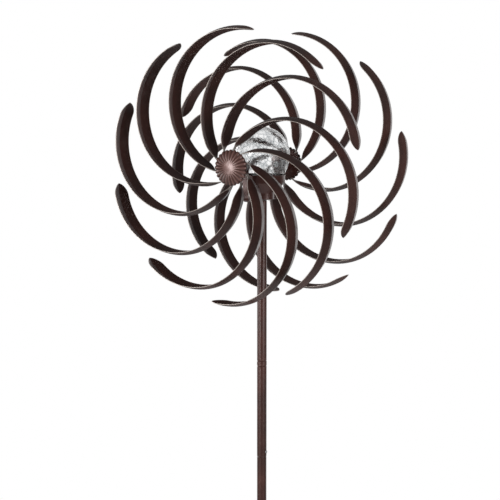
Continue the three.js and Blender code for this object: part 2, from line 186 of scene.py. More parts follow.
class Finish:
    """A material whose nodes are added by one method."""

    def __init__(self, name, **shader):
        self.material = bpy.data.materials.new(name)
        self.material.use_nodes = True
        self.tree = self.material.node_tree
        self.shader = self.tree.nodes["Principled BSDF"]
        self.out = self.tree.nodes["Material Output"]
        for key, value in shader.items():
            self.feed(self.shader, key.replace("_", " "), value)

    def feed(self, node, key, value):
        """Links another node's output to an input, or sets the input to a number or a colour."""
        if isinstance(value, Shade):
            self.tree.links.new(value.socket, node.inputs[key])
        else:
            node.inputs[key].default_value = value

    def node(self, kind, settings=None, inputs=None, output=0):
        made = self.tree.nodes.new("ShaderNode" + kind)
        for key, value in (settings or {}).items():
            setattr(made, key, value)
        for key, value in (inputs or {}).items():
            self.feed(made, key, value)
        return Shade(self, made.outputs[output])

    def set(self, **sockets):
        """Feeds the shader itself."""
        for key, value in sockets.items():
            self.feed(self.shader, key.replace("_", " "), value)
        return self.material

    def place(self, scale=(1, 1, 1), shift=(0, 0, 0)):
        """Object coordinates, stretched and shifted."""
        where = self.node("TexCoord", output=3)
        return self.node("Mapping", None, {"Vector": where, "Location": shift, "Scale": scale})

    def along(self, axis, shift=(0, 0, 0)):
        """One of the object coordinates: 0 for x, 1 for y and 2 for z."""
        return self.node("SeparateXYZ", None, {0: self.place(shift=shift)}, output=axis)

    def noise(self, scale, detail=3, where=None, roughness=0.55, distortion=0.0):
        return self.node("TexNoise", None, {
            "Vector": where or self.place(), "Scale": scale, "Detail": detail,
            "Roughness": roughness, "Distortion": distortion})

    def blend(self, mask, first, second):
        """The first colour where the mask is 0, the second where it is 1."""
        return self.node("Mix", {"data_type": "RGBA"}, {0: mask, 6: first, 7: second}, output=2)

    def bump(self, height, depth, strength=1.0, below=None):
        inputs = {"Height": height, "Distance": depth, "Strength": strength}
        if below is not None:
            inputs["Normal"] = below
        return self.node("Bump", None, inputs)


def colour(red, green, blue):
    """A colour as a painter's chart gives it, 0 to 255, made linear for the shader."""
    return tuple(((c / 255 + 0.055) / 1.055) ** 2.4 if c > 10 else c / 255 / 12.92
                 for c in (red, green, blue)) + (1.0,)


print("bronze in linear light:", [round(c, 4) for c in colour(66, 47, 41)])

# %% [markdown]
# ## Bronze powder coat
#
# Almost the whole sculpture is steel under a dark bronze powder coat. Baked powder is satin, a
# little orange-peeled, and never quite even: the brown drifts a shade warmer and cooler along a
# blade, with fine metal flakes in it. Four noises of very different sizes do that: one for the
# drift, one for the flakes, one for a film of dust, and one for the peel, which goes into the
# bump only.
#
# Two pieces need more. A blade's paint carries a painted highlight along its border, which each of
# its vertices will know by a number called "edge", and its tongue is near-white. A cap's grooves
# carry painted shade and its ridges a painted highlight, by the angle round the axle.

# %% The bronze finishes
DUST = colour(120, 96, 86)
BRONZE_FLAKE = colour(132, 98, 88)
FLUTES = 24  # grooves pressed round each cap


def powder_coat(name, warm, cool, flake, roughness=0.3, metallic=0.2, coat=0.0):
    """Returns the finish, its paint, which is still to be set as the colour, and the material."""
    finish = Finish(name, Metallic=metallic, Coat_Weight=coat, Coat_Roughness=0.2)
    drift = finish.noise(9.0, 4).step(0.38, 0.64)
    flakes = finish.noise(1900.0, 1).step(0.60, 0.72)
    dust = finish.noise(60.0, 5, roughness=0.65).step(0.52, 0.78)
    peel = finish.noise(420.0, 2)
    body = finish.blend(drift, cool, warm)
    dusty = finish.blend(dust * 0.16, body, DUST)
    paint = finish.blend(flakes * 0.45, dusty, flake)
    material = finish.set(
        Roughness=roughness + dust * 0.10 + drift * 0.04,
        Normal=finish.bump(peel, 0.05 * MM, 0.5))
    return finish, paint, material


def from_axis(finish):
    """Distance of a place from the rotors' axis, in millimetres, and the angle round it."""
    x, z = (finish.along(axis, shift=(0, 0, -HUB_HEIGHT * MM)) for axis in (0, 2))
    return (x * x + z * z) ** 0.5 * (1 / MM), z.maths("ARCTAN2", x)


finish, paint, bronze = powder_coat(
    "bronze powder coat", colour(84, 48, 41), colour(68, 43, 38), BRONZE_FLAKE, coat=0.3)
finish.set(Base_Color=paint)

finish, paint, blade_bronze = powder_coat(
    "bronze on the blades", colour(84, 52, 46), colour(66, 45, 41), BRONZE_FLAKE)
away, _ = from_axis(finish)
# painted highlight: the paint turns lighter towards the sheet's border
border = finish.node("Attribute", {"attribute_name": "edge"}, output=2).step(0.72, 0.96)
root = 1 - away.step(44.0, 54.0)  # the tongues, near-white close to the hub
edge_highlighted = finish.blend(border * 0.8, paint, colour(172, 158, 150))
finish.set(Base_Color=finish.blend(root, edge_highlighted, colour(196, 190, 184)))

finish, paint, cap_bronze = powder_coat(
    "reddish cap bronze", colour(98, 62, 55), colour(84, 56, 50), colour(160, 124, 114),
    metallic=0.3, coat=0.65)
away, turn = from_axis(finish)
# painted shade in the grooves and a painted highlight on the ridges, both by the angle round the
# axle
groove = 1 - (turn * (FLUTES / 2)).maths("COSINE").maths("ABSOLUTE")  # two grooves to a wave
shade = groove ** 2.0 * away.step(9.0, 20.0)
ridge_highlight = (1 - groove) ** 8.0 * away.step(7.0, 13.0)
fluted = finish.blend(shade * 0.6, paint, colour(40, 26, 23))
finish.set(Base_Color=finish.blend(ridge_highlight * 0.25, fluted, colour(190, 152, 142)))
print("finishes:", bronze.name, "and", cap_bronze.name)

# %% [markdown]
# ## Painted highlight on cut edges, and bare metal
#
# The blades' cut edges are painted near-white, a painted highlight lighter than their faces. The
# screws, axles and bearings are bare: zinc plate with its faint grey bloom, and ground steel.

# %% Edge and metal finishes
def bare_metal(name, light, dark, roughness, grain=(1, 1, 1)):
    finish = Finish(name, Metallic=1.0)
    cloud = finish.noise(90.0, 4).step(0.35, 0.7)
    scratch = finish.noise(500.0, 2, finish.place(grain)).step(0.5, 0.75)
    return finish.set(
        Base_Color=finish.blend(cloud, light, dark),
        Roughness=roughness + cloud * 0.12 + scratch * 0.08,
        Normal=finish.bump(scratch, 0.02 * MM, 0.4))


# painted highlight: the cut edges, which Solidify makes as the rims, are near-white
finish, paint, edge_highlight_paint = powder_coat(
    "painted highlight on cut edges", colour(206, 196, 188), colour(176, 164, 156),
    colour(228, 220, 214), roughness=0.4, metallic=0.4)
finish.set(Base_Color=paint)
zinc = bare_metal("zinc plate", colour(206, 207, 208), colour(172, 174, 177), 0.42)
ground_steel = bare_metal("ground bearing steel", colour(222, 222, 224), colour(196, 197, 200),
                          0.16, grain=(1, 12, 1))
print("edge and metal finishes:", edge_highlight_paint.name, zinc.name, ground_steel.name)

# %% [markdown]
# ## Crackle glass
#
# The globe is blown clear glass, quenched in water so that a net of cracks runs through its
# skin, and then heated again to hold it together. Each crack is a thin inner surface that
# catches light. A net of cell edges, bent by a noise so that no crack is straight, goes into
# the bump, and where a crack is, the glass is greyer. Long flat waves are the marks of blowing.

# %% The globe's glass
CRACK_BEND = 12 * MM  # how far the noise pushes a crack off its straight line


def crackle_glass():
    finish = Finish("crackle glass", Roughness=0.03, IOR=1.45, Transmission_Weight=1.0)
    where = finish.place()
    wander = finish.node("TexNoise", None, {"Vector": where, "Scale": 45.0, "Detail": 2.0},
                         output=1)
    bent = finish.node("VectorMath", {"operation": "MULTIPLY_ADD"},
                       {0: wander, 1: (CRACK_BEND,) * 3, 2: where})
    cells = {"feature": "DISTANCE_TO_EDGE"}
    large = finish.node("TexVoronoi", cells, {"Vector": bent, "Scale": 62.0})
    small = finish.node("TexVoronoi", cells, {"Vector": bent, "Scale": 140.0})
    patches = finish.noise(26.0, 2).step(0.42, 0.62)
    cracks = 1 - large.step(0.0, 0.10)
    splinters = (1 - small.step(0.0, 0.10)) * patches
    net = (cracks * 0.9 + splinters * 0.6).maths("MINIMUM", 1.0)
    waves = finish.noise(16.0, 1, finish.place((1, 1, 4)), distortion=0.6)
    ripple = finish.bump(waves, 2.0 * MM, 0.3)
    return finish.set(
        Base_Color=finish.blend(net, colour(255, 255, 255), colour(184, 188, 190)),
        Normal=finish.bump(net, 0.25 * MM, 0.25, below=ripple))


glass = crackle_glass()
print("glass:", glass.name)

# %% [markdown]
# ## What the lamp is made of
#
# Inside the cup sit moulded plastics, a rubber ring, a silicon cell with its silver fingers, a
# green board and a battery in shrink wrap. They are plain finishes with a little grain each, and
# the cell's fingers are thin stripes that cross a few wider bus bars.

# %% Rubber, plastics, cell, board, battery and lamp finishes
FINGERS, BUS_BARS = 400.0, 60.0  # on a metre of silicon


def moulded(name, shade, roughness, grain=700.0, depth=0.03):
    finish = Finish(name)
    mottle = finish.noise(35.0, 3).step(0.35, 0.7)
    texture = finish.noise(grain, 2)
    darker = tuple(c * 0.82 for c in shade[:3]) + (1.0,)
    return finish.set(
        Base_Color=finish.blend(mottle, shade, darker),
        Roughness=roughness + mottle * 0.08,
        Normal=finish.bump(texture, depth * MM, 0.5))


def solar_cell_finish():
    finish = Finish("silicon cell", Coat_Weight=1.0, Coat_Roughness=0.06, Roughness=0.35)
    x, y = finish.along(0), finish.along(1)
    fingers = 1 - (x * FINGERS).maths("PINGPONG", 0.5).step(0.0, 0.08)
    bars = 1 - (y * BUS_BARS + 0.25).maths("PINGPONG", 0.5).step(0.0, 0.05)
    crystals = finish.node("TexVoronoi", None, {"Vector": finish.place(), "Scale": 160.0},
                           output=1)
    grey = finish.node("SeparateColor", None, {0: crystals})
    silicon = finish.blend(grey, colour(20, 28, 60), colour(38, 52, 96))
    silver = (fingers * 0.7).maths("MAXIMUM", bars)
    return finish.set(Base_Color=finish.blend(silver, silicon, colour(176, 178, 176)))


rubber = moulded("seal rubber", colour(34, 34, 34), 0.75)
black_plastic = moulded("black moulding", colour(38, 38, 40), 0.5)
white_plastic = moulded("white moulding", colour(228, 226, 219), 0.42)
board_green = moulded("green solder mask", colour(26, 84, 48), 0.3, 260.0, 0.05)
wrap = moulded("battery shrink wrap", colour(92, 134, 96), 0.35, 90.0, 0.04)
silicon = solar_cell_finish()
clear = Finish("clear lamp epoxy", Roughness=0.08, IOR=1.5, Transmission_Weight=0.85)
clouds = clear.noise(120.0, 2).step(0.4, 0.7)
epoxy = clear.set(Base_Color=clear.blend(clouds, colour(255, 243, 214), colour(250, 230, 190)))
print("materials so far:", len(bpy.data.materials))

# %% [markdown]
# ## One blade
#
# A real blade is a flat strip of sheet, cut with a narrow tongue at one end and a leaf point at
# the other, pressed to a shallow gutter and rolled to a half circle. Here the order is turned
# round, which is easier to control: the gutter's cross-section is a short row of vertices, and
# **Spin** sweeps it round the half circle. Each ring is then scaled about its own middle, so
# that the gutter gets shallower where the blade gets narrower, as a pressed one does.

# %% The blade's half circle
BLADES = 10
TIP_RADIUS = 305  # the rotor is 610 across
ARC = 162  # radius that the blade is rolled to
LEAN = math.radians(5.6)  # how far the tip dives inside the rotor's own circle
ROOT = 38.2  # where the tongue starts, from the rotor's axis
SHEET = 1.2
GUTTER = 0.15  # depth of the gutter as a share of the width
RIDGE = 0.03  # roundness of its fold, as a share of the width
BLADE_WIDTH, TIP_WIDTH, TONGUE_WIDTH = 51, 53, 9
TONGUE, FLARE, POINT = 9, 36, 28  # lengths of the tongue, of the flare and of the leaf point
BLUNTNESS = 0.65  # under 1 rounds the tip over
NARROWEST = 1.6  # the very end of the leaf point

arc_x, arc_z = -ARC * math.sin(LEAN), TIP_RADIUS - ARC * math.cos(LEAN)
reach = math.hypot(arc_x, arc_z)
opening = math.acos((reach**2 + ROOT**2 - ARC**2) / (2 * reach * ROOT))
root_turn = math.atan2(arc_z, arc_x) + opening
root_x, root_z = ROOT * math.cos(root_turn), ROOT * math.sin(root_turn)
root_angle = math.atan2(root_z - arc_z, root_x - arc_x) % math.tau
roll = root_angle - (math.pi / 2 - LEAN)
blade_length = ARC * roll
print("blade: %.0f mm long, through %.0f degrees" % (blade_length, math.degrees(roll)))


def blade_width(s):
    """The blade's width at a length s from its root."""
    flare = min(max((s - TONGUE) / FLARE, 0), 1)
    point = min(max((blade_length - s) / POINT, 0), 1)
    full = BLADE_WIDTH + (TIP_WIDTH - BLADE_WIDTH) * s / blade_length
    rooted = TONGUE_WIDTH + (full - TONGUE_WIDTH) * math.sin(flare * math.pi / 2)
    return max(NARROWEST, rooted * math.sin(point * math.pi / 2) ** BLUNTNESS)


def arc_point(angle, radius=ARC):
    """A place on the blade's arc, or at its middle when the radius is 0."""
    return Vector((arc_x + radius * math.cos(angle), 0, arc_z + radius * math.sin(angle))) * MM


# %% [markdown]
# The cross-section comes from a grid that is one face wide: one column of its vertices is
# deleted, and the other is bent to a V with a rounded fold. Spin is run three times, with short
# steps at the flare and at the leaf point and longer ones between them. Solidify makes a sheet
# of the surface, and a bevel breaks the sheet's edges.

# %% Model the blade
def blade_section(columns=8):
    """A row of vertices across the blade's root, bent to a V."""
    piece = start("grid", x_subdivisions=1, y_subdivisions=columns, size=BLADE_WIDTH * MM)
    pick(lambda co: co.x > 0)
    bpy.ops.mesh.delete(type="VERT")
    rows = sorted({round(v.co.y, 6) for v in bmesh.from_edit_mesh(piece.data).verts})
    outwards = (arc_point(root_angle) - arc_point(0, 0)).normalized()
    for row in rows:
        across = math.hypot(row / MM / BLADE_WIDTH, RIDGE)
        lift = GUTTER * BLADE_WIDTH * (0.5 - 2 * across) * MM
        pick(lambda co: abs(co.y - row) < 0.01 * MM and co.x < -BLADE_WIDTH * 0.4 * MM)
        place = (arc_point(root_angle) + outwards * lift) / MM
        move(place.x + BLADE_WIDTH / 2, 0, place.z)
    return piece


def roll_blade(piece):
    """Spins the section round the arc and returns the rings' lengths from the root."""
    rings, s = [0.0], 0.0
    even = blade_length - TONGUE - FLARE - POINT
    bpy.ops.mesh.select_all(action="SELECT")
    for length, steps in ((TONGUE + FLARE, 12), (even, 38), (POINT, 12)):
        bpy.ops.mesh.spin(steps=steps, angle=-length / ARC, center=arc_point(0, 0), axis=(0, 1, 0))
        rings += [s + length * (i + 1) / steps for i in range(steps)]
        s += length
    return rings


def mark_edges(piece):
    """Stores 1 on the sheet's border and 0 elsewhere, for the painted highlight along it."""
    mesh = bmesh.from_edit_mesh(piece.data)
    edge = mesh.verts.layers.float.new("edge")
    for v in mesh.verts:
        v[edge] = float(v.is_boundary)
    bmesh.update_edit_mesh(piece.data)


def taper(rings):
    """Scales each ring about its own middle to the blade's width there."""
    middle = arc_point(0, 0)

    def past(co, angle):
        """How far a place is past an angle of the arc, from minus to plus half a turn."""
        turn = math.atan2(co.z - middle.z, co.x - middle.x) - angle
        return (turn + math.pi) % math.tau - math.pi

    for s in rings:
        angle = root_angle - s / ARC
        pick(lambda co: abs(past(co, angle)) < 0.3 / ARC)
        share = blade_width(s) / BLADE_WIDTH
        bpy.ops.transform.resize(value=(share, share, share), center_override=arc_point(angle))


blade = blade_section()
rings = roll_blade(blade)
taper(rings)
face_outwards()
mark_edges(blade)
# the second slot, which Solidify gives the rims, holds the painted edge highlight
for material in (blade_bronze, edge_highlight_paint):
    blade.data.materials.append(material)
modify(blade, "SOLIDIFY", thickness=SHEET * MM, offset=0, material_offset_rim=1)
bevel(blade, 0.22, segments=1, angle=50)
settle(blade, "blade", 20)
print("blade rings:", len(rings), "faces:", len(blade.data.polygons))

# %% [markdown]
# ## Twenty blades
#
# Both rotors use the same blade. A copy is turned about the axle to its own angle, set out along
# the axle, and lifted to the head's height. The rear rotor faces backwards, so its blades are
# turned half round as well, which makes the two wheels curl opposite ways seen from the front.

# %% Set the blades round both rotors
FRONT_PLANE, REAR_PLANE = 138, 117  # blade planes, from the pole's axis
FRONT_TURN, REAR_TURN = 10, -3  # how far the first blade stands from upright, in degrees
SIDES = {"front": (FRONT_PLANE, FRONT_TURN, 0), "rear": (REAR_PLANE, REAR_TURN, 180)}
print("blade planes:", FRONT_PLANE, "mm in front and", REAR_PLANE, "mm behind")


def on_side(side, turn=0.0, along=0.0):
    """Turns a piece about the axle, moves it out along its own side, and lifts it to the head."""
    facing = Matrix.Rotation(math.radians(SIDES[side][2]), 4, "Z")
    out = Matrix.Translation((0, -along * MM, 0))
    return HEAD @ facing @ out @ Matrix.Rotation(math.radians(turn), 4, "Y")


for side, (plane, first, _) in SIDES.items():
    for i in range(BLADES):
        node = "%s_blade_%02d" % (side, i + 1)
        piece = twin(blade, node + "_fine", on_side(side, first + i * 360 / BLADES, plane))
        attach(piece, side + "_rotor")
        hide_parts(node)
bpy.data.objects.remove(blade)
print("blades set:", 2 * BLADES)

# %% [markdown]
# ## Turned pieces
#
# Caps, hubs, tubes, the cup and the globe are all round, and most of them hide a wall. Each is
# made the same way: a circle is added, and then extruded, scaled and moved to the next point of
# its profile, ring by ring, as on a lathe. A closed profile ends by bridging its last ring to
# its first, and an open one by filling both ends.

# %% A ring-by-ring lathe
def on_ring(co, radius, height):
    """Whether a place is on a ring, given in millimetres."""
    return abs(co.z - height * MM) < 1e-6 and abs(co.xy.length - radius * MM) < 1e-6


def turned(profile, sides=64, closed=True):
    """Extrudes a ring through a profile of (radius, height) pairs, in millimetres, about Z."""
    radius, height = profile[0]
    piece = start("circle", vertices=sides, radius=radius * MM, location=(0, 0, 0),
                  fill_type="NOTHING")
    bpy.ops.mesh.select_all(action="SELECT")
    move(0, 0, height)
    for r, h in profile[1:]:
        extrude(0, 0, h - height)
        bpy.ops.transform.resize(value=(r / radius, r / radius, 1), center_override=(0, 0, h * MM))
        radius, height = r, h
    ends = (profile[0], profile[-1])
    if closed:
        pick(lambda co: any(on_ring(co, *end) for end in ends))
        bpy.ops.mesh.bridge_edge_loops()
    else:
        for end in ends:
            pick(lambda co: on_ring(co, *end))
            bpy.ops.mesh.edge_face_add()
    face_outwards()
    return piece


def finish_piece(piece, node, material, edge=0, body="frame", smooth=20):
    """Breaks a piece's edges, gives it its material, and puts it in a measured part's place."""
    if edge:
        bevel(piece, edge)
    settle(piece, node + "_fine", smooth)
    piece.data.materials.clear()
    piece.data.materials.append(material)
    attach(piece, body)
    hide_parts(node)
    print(piece.name, len(piece.data.polygons), "faces")


def along_axle(side, along=0.0):
    """Turns a piece made about Z so that its top points forwards on this side's axle."""
    return on_side(side, 0, along) @ Matrix.Rotation(math.radians(90), 4, "X")


def lay(piece, matrix):
    """Applies a place to a piece's mesh."""
    if bpy.context.mode != "OBJECT":
        bpy.ops.object.mode_set(mode="OBJECT")
    piece.data.transform(matrix)
    return piece


print("the lathe is ready")

# %% [markdown]
# ## The fluted cap
#
# A pressed dome covers each hub. Its middle is smooth, and flutes grow from there to a scalloped
# rim. The dome is turned first. Then, on each ring, the vertices at the same place in their
# flutes are picked together, scaled and lifted, which presses all the flutes at once.

# %% Model the cap
CAP_RADIUS, CAP_DEPTH, CAP_WALL = 39, 12, 1.2
CAP_EYE = 1.2  # radius of the flat at the very top
FLUTE_DEPTH = 1.4
PER_FLUTE = 8  # facets that make one flute
SMOOTH_MIDDLE = 0.25  # share of the radius where the flutes start
HUB_LENGTH = 14
GAP = 0.3  # left between neighbouring pieces


def dome(radius, depth, steps):
    """A quarter of an ellipse from the rim up, which ends in the flat at the top."""
    turns = [i / steps * math.pi / 2 for i in range(steps)]
    curve = [(radius * math.cos(turn), depth * math.sin(turn)) for turn in turns]
    return curve + [(CAP_EYE, depth)]


def facet(co):
    """Which of the cap's facets a place is on, counted from its first rib."""
    return round(math.atan2(co.y, co.x) / math.tau * FLUTES * PER_FLUTE)


def rib(phase):
    """A rounded rib with a sharp groove on each side: 1 on the rib, -1 in the groove."""
    return 2 * abs(math.cos(phase / PER_FLUTE * math.pi)) - 1


def flute(profile):
    """Presses the flutes: each ring's vertices move along the dome's slope by their place."""
    for height in sorted({h for _, h in profile}):
        radius = max(r for r, h in profile if h == height)
        share = min(max((radius / CAP_RADIUS - SMOOTH_MIDDLE) / (1 - SMOOTH_MIDDLE), 0), 1)
        depth = math.sin(share * math.pi / 2) * FLUTE_DEPTH
        steep = radius / CAP_RADIUS  # at the rim the dome's wall stands upright
        for phase in range(PER_FLUTE):
            if not pick(lambda co: abs(co.z - height * MM) < 0.004 * MM
                        and facet(co) % PER_FLUTE == phase):
                continue
            grown = 1 + depth * steep * rib(phase) / radius
            bpy.ops.transform.resize(value=(grown, grown, 1), center_override=(0, 0, height * MM))
            move(0, 0, depth * (1 - steep) * rib(phase))


outer = dome(CAP_RADIUS, CAP_DEPTH, 14)
inner = dome(CAP_RADIUS - CAP_WALL, CAP_DEPTH - CAP_WALL, 5)
cap = turned(inner[::-1] + outer, FLUTES * PER_FLUTE, closed=False)
flute(inner + outer)
settle(cap, "cap", 50)
for side, (plane, _, _) in SIDES.items():
    piece = twin(cap, side + "_cap_fine", along_axle(side, plane + HUB_LENGTH / 2 + GAP))
    finish_piece(piece, side + "_cap", cap_bronze, 0, side + "_rotor", 50)
bpy.data.objects.remove(cap)

# %% [markdown]
# ## Hubs and spacers
#
# Behind each cap sits the hub: a dished disc with a rolled rim, to which the blades' tongues are
# welded, and a boss with two ball bearings in it. A flanged spacer holds it off the yoke. The
# same lathe turns both, and a small bevel breaks their edges, as a real tool does.

# %% Model the hubs and spacers
HUB_RADIUS, BEARING_RADIUS, AXLE_RADIUS = 37, 11, 4
HUB_SHEET, HUB_DISC = 2, 1.5  # the disc's thickness, and how far it stands off the hub's middle
BOSS_WALL = 4  # the metal round the bearings
RUNNING = 0.25  # clearance round the axle
YOKE_REACH, STRAP = 76, 3  # inside of the yoke from the pole's axis, and its thickness
EYE_RADIUS = 10  # the yoke's round ends
SPACER_RADIUS, FLANGE = 7, 2


def hub_profile():
    half, bore, boss = HUB_LENGTH / 2, BEARING_RADIUS + GAP, BEARING_RADIUS + BOSS_WALL
    rim, back = HUB_RADIUS - HUB_SHEET, HUB_DISC + HUB_SHEET
    return [(bore, -half), (boss, -half), (boss, HUB_DISC), (HUB_RADIUS, HUB_DISC),
            (HUB_RADIUS, half), (rim, half), (rim, back), (boss, back), (boss, half), (bore, half)]


def spacer_profile(plane):
    bore, low = AXLE_RADIUS + RUNNING, YOKE_REACH + STRAP + GAP
    high = plane - HUB_LENGTH / 2 - GAP
    return [(bore, low), (EYE_RADIUS, low), (EYE_RADIUS, low + FLANGE),
            (SPACER_RADIUS, low + FLANGE), (SPACER_RADIUS, high), (bore, high)]


for side, (plane, _, _) in SIDES.items():
    piece = lay(turned(hub_profile(), 96), along_axle(side, plane))
    finish_piece(piece, side + "_hub", bronze, 0.3, side + "_rotor")
    piece = lay(turned(spacer_profile(plane), 48), along_axle(side))
    finish_piece(piece, side + "_spacer", zinc, 0.4)

# %% [markdown]
# ## The yoke
#
# One steel strap, bent to a U, passes under the lamp and holds an axle at each end. It starts as
# a short edge across the strap. Extruding draws the straights, Spin draws the two bends, and the
# round eyes come from short extrusions whose widths follow a circle. Solidify gives the strap
# its 3 mm, and a Boolean drills it.

# %% Model the yoke
CUP_BOTTOM = -77  # under the rotors' axis
STRAP_WIDTH, BEND, BOLT_HOLE = 14, 8, 3.3
STRAP_MIDDLE = YOKE_REACH + STRAP / 2
EYE_START = -math.acos(STRAP_WIDTH / 2 / EYE_RADIUS)  # where the strap's edges meet the eye


def eye(sign, steps=12):
    """Extrudes the picked edge upwards through a round eye."""
    width, height = STRAP_WIDTH / 2, EYE_RADIUS * math.sin(EYE_START)
    for i in range(1, steps + 1):
        turn = EYE_START + (math.pi / 2 - EYE_START) * i / steps
        lift, wide = EYE_RADIUS * math.sin(turn), max(EYE_RADIUS * math.cos(turn), 0.6)
        extrude(0, 0, lift - height)
        bpy.ops.transform.resize(value=(wide / width, 1, 1),
                                 center_override=(0, sign * STRAP_MIDDLE * MM, HUB_HEIGHT * MM))
        width, height = wide, lift


def drill(piece, radius, places, along="Y", depth=20):
    """Cuts round holes through a piece, with a Boolean for each."""
    for place in places:
        bpy.ops.object.select_all(action="DESELECT")
        bpy.ops.mesh.primitive_cylinder_add(
            vertices=32, radius=radius * MM, depth=depth * MM, location=Vector(place) * MM,
            rotation=(math.pi / 2 if along == "Y" else 0, 0, 0))
        boolean(piece, "DIFFERENCE", bpy.context.object)


def yoke_strap():
    """The strap's middle surface, from the front eye down, across and up to the rear one."""
    piece = start("grid", x_subdivisions=2, y_subdivisions=1, size=STRAP_WIDTH * MM)
    pick(lambda co: co.y > 0)
    bpy.ops.mesh.delete(type="VERT")
    bpy.ops.mesh.select_all(action="SELECT")
    neck = HUB_HEIGHT + EYE_RADIUS * math.sin(EYE_START)
    move(0, STRAP_WIDTH / 2 - STRAP_MIDDLE, neck)
    eye(-1)
    pick(lambda co: abs(co.z - neck * MM) < 1e-6)
    low = HUB_HEIGHT + CUP_BOTTOM - GAP - STRAP / 2
    bend = BEND + STRAP / 2
    straight = neck - low - bend
    corner = STRAP_MIDDLE - bend
    extrude(0, 0, -straight)
    for sign, run in ((-1, (0, 2 * corner, 0)), (1, (0, 0, straight))):
        centre = Vector((0, sign * corner, low + bend)) * MM
        bpy.ops.mesh.spin(steps=10, angle=-math.pi / 2, center=centre, axis=(1, 0, 0))
        extrude(*run)
    eye(1)
    face_outwards()
    return piece


yoke = yoke_strap()
modify(yoke, "SOLIDIFY", thickness=STRAP * MM, offset=0)
drill(yoke, AXLE_RADIUS + RUNNING, [(0, s * STRAP_MIDDLE, HUB_HEIGHT) for s in (-1, 1)])
drill(yoke, BOLT_HOLE, [(0, 0, HUB_HEIGHT + CUP_BOTTOM)], "Z")
finish_piece(yoke, "yoke", bronze, 0.5)

# %% [markdown]
# ## The lamp cup
#
# The cup is spun from sheet: a straight collar with a beaded rim, a cone and a narrow foot. A
# closed profile on the lathe gives it both its faces. The slot in its underside lets the switch
# through, and is cut with a Boolean.

# %% Model the cup
CUP_RADIUS, CUP_WALL, NECK_RADIUS = 53, 1.5, 28
CUP_RIM, CUP_SHOULDER, CUP_WAIST = -21, -39, -63  # heights, under the rotors' axis
BEAD = [(0, -2.4), (0.8, -2), (1.2, -1.2), (1.0, -0.3), (0.3, 0)]  # out from the collar, and up
DECK_TOP, DECK = -31.2, 2  # the shelf that the lamp sits on
LEDGE, LEDGE_WALL = 2, 1.5  # what holds the shelf up
SWITCH_X = 19
SLOT = (4.6, 9.6, 4)  # the knob's slot, and how deep its cutter goes


def cup_profile():
    inner, foot, slant = CUP_RADIUS - CUP_WALL, NECK_RADIUS - CUP_WALL, 0.41 * CUP_WALL
    ledge, floor = DECK_TOP - DECK - GAP, CUP_BOTTOM + CUP_WALL
    under = [(BOLT_HOLE, CUP_BOTTOM), (NECK_RADIUS, CUP_BOTTOM), (NECK_RADIUS, CUP_WAIST),
             (CUP_RADIUS, CUP_SHOULDER)]
    rim = [(CUP_RADIUS + out, CUP_RIM + up) for out, up in BEAD]
    shelf = [(inner, ledge), (inner - LEDGE, ledge), (inner - LEDGE, ledge - LEDGE_WALL),
             (inner, ledge - LEDGE_WALL - LEDGE)]
    inside = [(inner, CUP_SHOULDER + slant), (foot, CUP_WAIST + slant), (foot, floor),
              (BOLT_HOLE, floor)]
    return under + rim + [(inner, CUP_RIM)] + shelf + inside


cup = lay(turned(cup_profile(), 96), HEAD)
bpy.ops.object.select_all(action="DESELECT")
bpy.ops.mesh.primitive_cube_add(
    size=1, scale=Vector(SLOT) * MM,
    location=Vector((SWITCH_X, 0, HUB_HEIGHT + CUP_BOTTOM + 0.5)) * MM)
boolean(cup, "DIFFERENCE", bpy.context.object)
finish_piece(cup, "lamp_cup", bronze, 0.3)

# %% [markdown]
# ## The globe
#
# The globe stands in the cup's collar on a rubber ring. With a single surface it would be a
# solid ball of glass, which shows what is behind it upside down. So the profile runs down the
# inside of the glass and back up the outside, and light is bent at both faces of the wall, as in
# the real one. The globe is round above its widest place and drawn out below it.

# %% Model the globe
GLOBE_RADIUS, GLASS = 64, 2.5
GLOBE_CENTRE = 25  # the widest place, above the rotors' axis
GLOBE_DROP = 76  # the lower half's height if it ran to a point, where a ball's is its radius
GLOBE_EYE = 0.8  # the smallest ring, which is filled


def globe_wall(inset, steps=26):
    """From the top of the globe down to its mouth, at a depth in the glass."""
    lowest = math.asin((DECK_TOP + GAP - GLOBE_CENTRE) / (GLOBE_DROP - inset))
    wall = []
    for i in range(steps + 1):
        lift = math.pi / 2 + (lowest - math.pi / 2) * i / steps
        tall = GLOBE_DROP if lift < 0 else GLOBE_RADIUS
        radius = max((GLOBE_RADIUS - inset) * math.cos(lift), GLOBE_EYE)
        wall.append((radius, GLOBE_CENTRE + (tall - inset) * math.sin(lift)))
    return wall


globe = lay(turned(globe_wall(GLASS) + globe_wall(0)[::-1], 96, closed=False), HEAD)
finish_piece(globe, "glass_globe", glass, smooth=60)

# %% [markdown]
# ## The pole
#
# The pole comes in four tubes, so that it fits a short box. Each tube's upper end is reduced to
# a spigot that slides into the tube above. The joints show as fine dark grooves, because every
# tube's end is rolled over a little: the turned profile steps inwards there. A short ring sits
# between the two upper tubes.

# %% Model the pole
POLE, LOWER_POLE, TUBE_WALL = 11.2, 11, 1.1  # the outer radii, and the wall
SPIGOT = 34  # how far one tube goes into the next
RING_TOP, RING_HEIGHT = -455, 12
STEP_JOINT, BASE_JOINT = -683, -1060  # heights of the lower joints, under the rotors' axis
PLUG = 3  # the closed top that the lamp's bolt goes through
BAR = 5  # thickness of the stake's step bar, which the pole stands on
ROLL, ROLL_DEPTH = 1.5, 0.65  # how far each tube's end is rolled over, along it and inwards
THROAT_START, THROAT_END = 5, 3  # where the bore narrows, under the shoulder
RING_PROUD = 0.2  # how far the ring stands out from the tubes


def outside(outer, bottom, top):
    """A tube's outside from bottom to top, with both ends rolled over."""
    return [(outer - ROLL_DEPTH, bottom), (outer, bottom + ROLL), (outer, top - ROLL),
            (outer - ROLL_DEPTH, top)]


